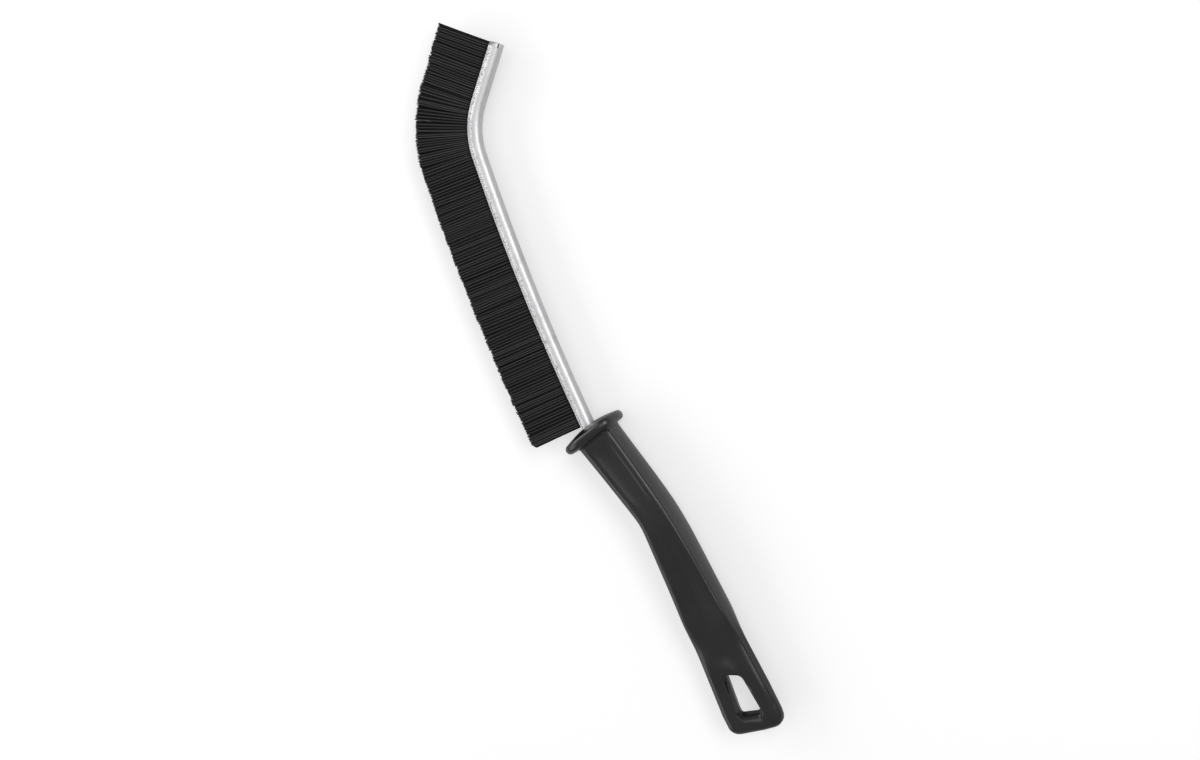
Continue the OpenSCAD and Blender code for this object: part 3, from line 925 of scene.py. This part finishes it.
@dataclass
class FilamentFill:
    """The dense fill: filaments that leave the channel square to it and fan out in the bend."""

    core: CoreLine
    finish: Nylon = Nylon()
    smooth_deg: float = 50
    first_seed: int = 17
    fill_start: float = 3.7 * MM
    end_clear: float = 0.25 * MM
    tip_reach: float = 24.1 * MM
    root_reach: float = 1.9 * MM
    sides: int = 5
    cuts: tuple[float, ...] = (0.35, 0.6, 0.82, 0.985)
    tip_from: float = 0.99
    tip_taper: float = 0.55
    thickness: float = 0.34 * MM
    face_thick: float = 1.25
    rows: int = 8
    pitch: float = 0.36 * MM
    bend_pitch: float = 0.25 * MM
    face_pitch: float = 1.02 * MM
    bend_share: float = 0.66
    spread: Span = (0.92, 1.10)
    face_spread: Span = (0.7, 1.3)
    row_start: float = 0.2
    row_shift: float = 0.5
    end_share: float = 0.3
    half_width: float = 1.06 * MM
    flare: float = 1.42
    stray: float = 0.05 * MM
    ragged: float = 0.25 * MM
    clump_len: Span = (0.8 * MM, 2.9 * MM)
    clump_gap: Span = (0.05 * MM, 0.30 * MM)
    clump_lean: float = 0.10 * MM
    notch: float = 0.48 * MM
    notch_power: float = 1.6
    gather: float = 0.12
    bend_gather: float = 0.26
    gathered_rows: int = 2
    lean_power: float = 2.0
    loose_lean: float = 0.55 * MM
    loose_power: float = 4.0
    pinch_len: float = 1.6 * MM
    pinch_in: float = 0.40 * MM
    heel_cut: float = 1.2 * MM
    heel_cut_run: float = 2 * MM
    # Tones by depth in the fill: random within each range, the outer rows lit and the deeper rows painted
    # darker, as painted shade.
    face_lit_tone: Span = (0.6, 1.0)
    second_row_shade_tone: float = 0.22
    inner_rows_shade_tones: Pair = (0.06, 0.03)
    fold_sides: int = 14
    fold_r: float = 1.93 * MM
    fold_reach: float = 2.2 * MM
    fold_fit: float = 0.97
    fold_step: float = 2.2 * MM
    # The fold's tone is dark, as painted shade inside the channel.
    fold_shade_tone: float = 0.1

    def build(self) -> None:
        """Makes each stretch of the fill as one piece."""
        nylon = self.finish.material()
        long_mid = (self.fill_start + self.core.long_end) / 2
        ends = {
            Stretch.HEEL: (self.fill_start, long_mid),
            Stretch.FRONT: (long_mid, self.core.long_end),
            Stretch.BEND: (self.core.long_end, self.core.bend_end),
            Stretch.TIP: (self.core.bend_end, self.core.length - self.end_clear),
        }
        strand = self._one_strand()
        for number, (stretch, span) in enumerate(ends.items()):
            piece = self._stretch(stretch, span, strand, random.Random(self.first_seed + number))
            dress(piece, nylon, self.smooth_deg)
            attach(piece, "root")
            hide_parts(stretch.value)
            log.info("%s has %d faces", piece.name, len(piece.data.polygons))

    def _one_strand(self) -> Shape:
        """Models one strand, 1 long and 1 thick, along Z.

        Returns:
            Its points and its faces.
        """
        deselect()
        bpy.ops.mesh.primitive_cylinder_add(
            vertices=self.sides, radius=0.5, depth=1.0, location=(0, 0, 0.5), end_fill_type="NGON"
        )
        strand = bpy.context.object
        bpy.ops.object.transform_apply(location=True, rotation=False, scale=False)
        bpy.ops.object.mode_set(mode="EDIT")
        for height in self.cuts:
            bpy.ops.mesh.select_all(action="SELECT")
            bpy.ops.mesh.bisect(plane_co=(0, 0, height), plane_no=(0, 0, 1))
        bpy.ops.object.mode_set(mode="OBJECT")
        for v in strand.data.vertices:
            if v.co.z > self.tip_from:
                v.co.x *= self.tip_taper
                v.co.y *= self.tip_taper
        return take_shape(strand)

    def _depth(self, row: int) -> int:
        """Returns how many rows lie between a row and the nearer face of the fill."""
        return min(row, self.rows - 1 - row)

    def _clumps(self, span: Span, rng: random.Random) -> list[Clump]:
        """Splits a stretch into the clumps that its outer rows gather in.

        Args:
            span: The stretch's ends.
            rng: The source of the unevenness.

        Returns:
            The clumps, in order.
        """
        clumps, s = [], span[0]
        while s < span[1]:
            stop = s + rng.uniform(*self.clump_len)
            lean = rng.gauss(0, self.clump_lean)
            clumps.append(Clump(s, stop, lean, self.notch * rng.random() ** self.notch_power))
            s = stop + rng.uniform(*self.clump_gap)
        return clumps

    def _places(self, span: Span, row: int, clumps: list[Clump], rng: random.Random) -> Iterator[Triple]:
        """Spreads one row's strands: the inner rows evenly, the outer rows gathered in clumps.

        Args:
            span: The stretch's ends.
            row: The row's number across the channel.
            clumps: The stretch's clumps.
            rng: The source of the unevenness.

        Yields:
            Each strand's distance, the lean of its tip and how much shorter it is.
        """
        bend = self.core.long_end < (span[0] + span[1]) / 2 < self.core.bend_end
        gather = self.bend_gather if bend else self.gather
        depth = self._depth(row)
        if depth == 0:
            pitch = self.face_pitch * (self.bend_share if bend else 1.0)
        else:
            pitch = self.bend_pitch if bend else self.pitch
        spread = self.face_spread if depth == 0 else self.spread
        s = span[0] + pitch * (self.row_start + self.row_shift * (row % 2))
        for clump in clumps:
            middle = (clump.start + clump.stop) / 2
            while s < min(clump.stop, span[1] - pitch * self.end_share):
                pull = (middle - s) * gather + clump.lean if depth < self.gathered_rows else 0.0
                yield s, pull + rng.gauss(0, self.stray), clump.short
                s += pitch * rng.uniform(*spread)

    def _course(self, row: int, seat: Triple, rng: random.Random) -> tuple[Strand, float]:
        """Draws the course of one strand.

        Args:
            row: The row's number across the channel.
            seat: The strand's distance, the lean of its tip and how much shorter it is.
            rng: The source of the unevenness.

        Returns:
            The course and the strand's tone, random within its row's range and painted darker for rows deeper
            in the fill.
        """
        s, lean, short = seat
        to_end = self.core.length - s
        across = (row / (self.rows - 1) - 0.5) * 2
        squeeze = self.pinch_in * max(0.0, 1 - to_end / self.pinch_len)
        z0 = across * (self.half_width - squeeze)
        z1 = across * self.half_width * self.flare + rng.gauss(0, self.stray)
        cut = self.heel_cut * max(0.0, 1 - (s - self.fill_start) / self.heel_cut_run)
        reach = self.tip_reach - self.ragged * rng.random() - cut - short
        lean, power = min(lean, to_end), self.lean_power
        if s > self.core.length - self.end_clear - self.pitch and row == self.rows - 1:
            lean, power = self.loose_lean, self.loose_power
        depth = self._depth(row)
        # Painted shade: rows deeper in the fill take darker tones, the outer rows lighter ones.
        tones = (rng.uniform(*self.face_lit_tone), self.second_row_shade_tone * rng.random() ** 2, *self.inner_rows_shade_tones)
        thick = self.thickness * (self.face_thick if depth == 0 else 1.0)
        spin = rng.uniform(0, math.tau)
        foot = self.core.frame_at(s)
        return Strand(foot, self.root_reach, reach, (z0, z1), lean, power, thick, spin), tones[depth]

    def _stretch(self, stretch: Stretch, span: Span, strand: Shape, rng: random.Random) -> bpy.types.Object:
        """Copies the strand over one stretch and joins the copies with their slice of the fold.

        Args:
            stretch: The stretch.
            span: Its ends.
            strand: The modelled strand.
            rng: The source of the unevenness.

        Returns:
            The stretch, as one piece.
        """
        points, faces = strand
        copies, chart = Copies(strand), []
        clumps = self._clumps(span, rng)
        for row in range(self.rows):
            for seat in self._places(span, row, clumps, rng):
                course, tone = self._course(row, seat, rng)
                copies.add(course.at)
                chart.extend((points[j][2], tone) for face in faces for j in face)
        strands = copies.piece("strands")
        layer = strands.data.uv_layers.new(name=STRAND_CHART)
        layer.data.foreach_set("uv", np.array(chart, np.float32).ravel())
        fold = self._fold(span)
        pick(strands)
        fold.select_set(True)
        bpy.ops.object.join()
        return settle(strands, stretch.value.replace("bristles", "filaments"))

    def _fold(self, span: Span) -> bpy.types.Object:
        """Sweeps the folded core of the fill along one stretch, by extruding its outline.

        Args:
            span: The stretch's ends.

        Returns:
            The fold.
        """
        deselect()
        bpy.ops.mesh.primitive_circle_add(vertices=self.fold_sides, radius=self.fold_r, fill_type="NGON")
        fold = bpy.context.object
        lean = math.radians(self.core.wall_lean)
        for v in fold.data.vertices:
            out, up = v.co.x, v.co.y
            if out > 0:
                out *= self.fold_reach / self.fold_r
                wall = (self.fold_r - out * math.sin(lean)) / math.cos(lean)
                up = math.copysign(min(abs(up), wall), up) * self.fold_fit
            v.co = (0.0, out, up)
        fold.matrix_world = self.core.frame_at(span[0])
        bpy.ops.object.transform_apply(location=True, rotation=True, scale=True)
        bpy.ops.object.mode_set(mode="EDIT")
        bpy.ops.mesh.select_all(action="SELECT")
        steps = max(2, int((span[1] - span[0]) / self.fold_step))
        for i in range(steps):
            here = self.core.pose(span[0] + (span[1] - span[0]) * i / steps)
            there = self.core.pose(span[0] + (span[1] - span[0]) * (i + 1) / steps)
            move = Vector((there[0] - here[0], there[1] - here[1], 0))
            bpy.ops.mesh.extrude_region_move(TRANSFORM_OT_translate={"value": move})
            centre = self.core.home + Vector((there[0], there[1], 0))
            bpy.ops.transform.rotate(
                value=math.radians(here[2] - there[2]), orient_axis="Z", center_override=centre
            )
        bpy.ops.object.mode_set(mode="OBJECT")
        layer = fold.data.uv_layers.new(name=STRAND_CHART)
        # The fold sits at the root of the chart, so it also takes the full painted root shade.
        at_root = np.array([0.0, self.fold_shade_tone], np.float32)
        layer.data.foreach_set("uv", np.tile(at_root, len(fold.data.loops)))
        return fold


# The studio


@dataclass
class Lamp:
    """One soft area lamp that points at a spot."""

    name: str
    place: Triple
    size: Pair
    power: float
    aim: Triple = (0.0, 0.0, 0.0)

    def build(self) -> None:
        """Makes the lamp."""
        data = bpy.data.lights.new(self.name, "AREA")
        data.shape = "RECTANGLE"
        data.size, data.size_y = self.size
        data.energy = self.power
        lamp = bpy.data.objects.new(self.name, data)
        lamp.location = self.place
        lamp.rotation_euler = (Vector(self.aim) - Vector(self.place)).to_track_quat("-Z", "Y").to_euler()
        bpy.context.scene.collection.objects.link(lamp)


@dataclass
class Studio:
    """The floor, the lamps, the world and the camera at the photograph's viewing angle."""

    core: CoreLine
    world_level: float = 0.30
    floor_size: float = 6.0
    floor_cuts: int = 3
    tilt: float = 20.0
    roll: float = 25.1
    distance: float = 513.8 * MM
    focal: float = 42.0
    sensor: float = 36.0
    clip: Span = (0.01, 50.0)
    aim_from_guard: Pair = (16.5 * MM, -11.55 * MM)
    lamps: Sequence[Lamp] = (
        Lamp("overhead", (0.10, -0.10, 0.90), (0.80, 0.50), 1.0),
        Lamp("spine_side", (0.10, -0.62, 0.75), (0.80, 0.30), 3.0),
        Lamp("belly_side", (0.05, 0.80, 0.52), (1.20, 0.50), 2.2),
        Lamp("tip_side", (0.80, 0.62, 0.50), (0.50, 0.50), 1.9),
    )

    def build(self) -> None:
        """Makes the whole studio."""
        self._floor()
        self._world()
        for lamp in self.lamps:
            lamp.build()
        self._camera()
        bpy.context.scene.view_settings.view_transform = "Standard"
        log.info("studio built with %d lamps", len(self.lamps))

    def _floor(self) -> None:
        """Makes the floor, a plane in a few panels."""
        deselect()
        bpy.ops.mesh.primitive_plane_add(size=self.floor_size, location=(0, 0, 0))
        floor = bpy.context.object
        bpy.ops.object.mode_set(mode="EDIT")
        bpy.ops.mesh.select_all(action="SELECT")
        bpy.ops.mesh.subdivide(number_cuts=self.floor_cuts)
        bpy.ops.object.mode_set(mode="OBJECT")
        settle(floor, "floor")
        floor.data.materials.append(PaleFloor().material())

    def _world(self) -> None:
        """Lights the scene evenly from all sides, and shows the camera a white background."""
        world = bpy.data.worlds.new("studio")
        bpy.context.scene.world = world
        graph = Graph(world)
        path = graph.add("ShaderNodeLightPath")
        seen = Value(graph, path.outputs["Is Camera Ray"])
        level = self.world_level + seen * (1.0 - self.world_level)
        back = graph.add("ShaderNodeBackground", {}, {"Color": (1, 1, 1, 1), "Strength": level})
        graph.add("ShaderNodeOutputWorld", {}, {"Surface": back.outputs[0]})

    def _camera(self) -> None:
        """Places the camera over the brush, tilted towards its spine and rolled as in the photograph."""
        data = bpy.data.cameras.new("camera")
        data.lens = self.focal
        data.sensor_width = self.sensor
        data.clip_start, data.clip_end = self.clip
        camera = bpy.data.objects.new("camera", data)
        bpy.context.scene.collection.objects.link(camera)
        tilt, roll = math.radians(self.tilt), math.radians(self.roll)
        away = Vector((0, -math.sin(tilt), math.cos(tilt)))
        level = Vector((0, math.cos(tilt), math.sin(tilt)))
        across = Vector((1, 0, 0))
        right = -math.sin(roll) * across - math.cos(roll) * level
        up = math.cos(roll) * across - math.sin(roll) * level
        target = self.core.home + Vector((*self.aim_from_guard, 0))
        turned = Matrix((right, up, away)).transposed().to_4x4()
        camera.matrix_world = Matrix.Translation(target + away * self.distance) @ turned
        bpy.context.scene.camera = camera


def write_sizes() -> None:
    """Updates the view layer."""
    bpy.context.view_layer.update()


def main() -> None:
    """Builds the brush's pieces and the studio, in order."""
    logging.basicConfig(level=logging.INFO, format="%(name)s: %(message)s")
    core = CoreLine()
    steps: list[tuple[str, Callable[[], None]]] = [
        ("handle", Handle().build),
        ("channel", Channel(core).build),
        ("fill", FilamentFill(core).build),
        ("studio", Studio(core).build),
        ("sizes", write_sizes),
    ]
    for name, step in steps:
        step()
        log.info("%s done", name)


if __name__ == "__main__":
    main()
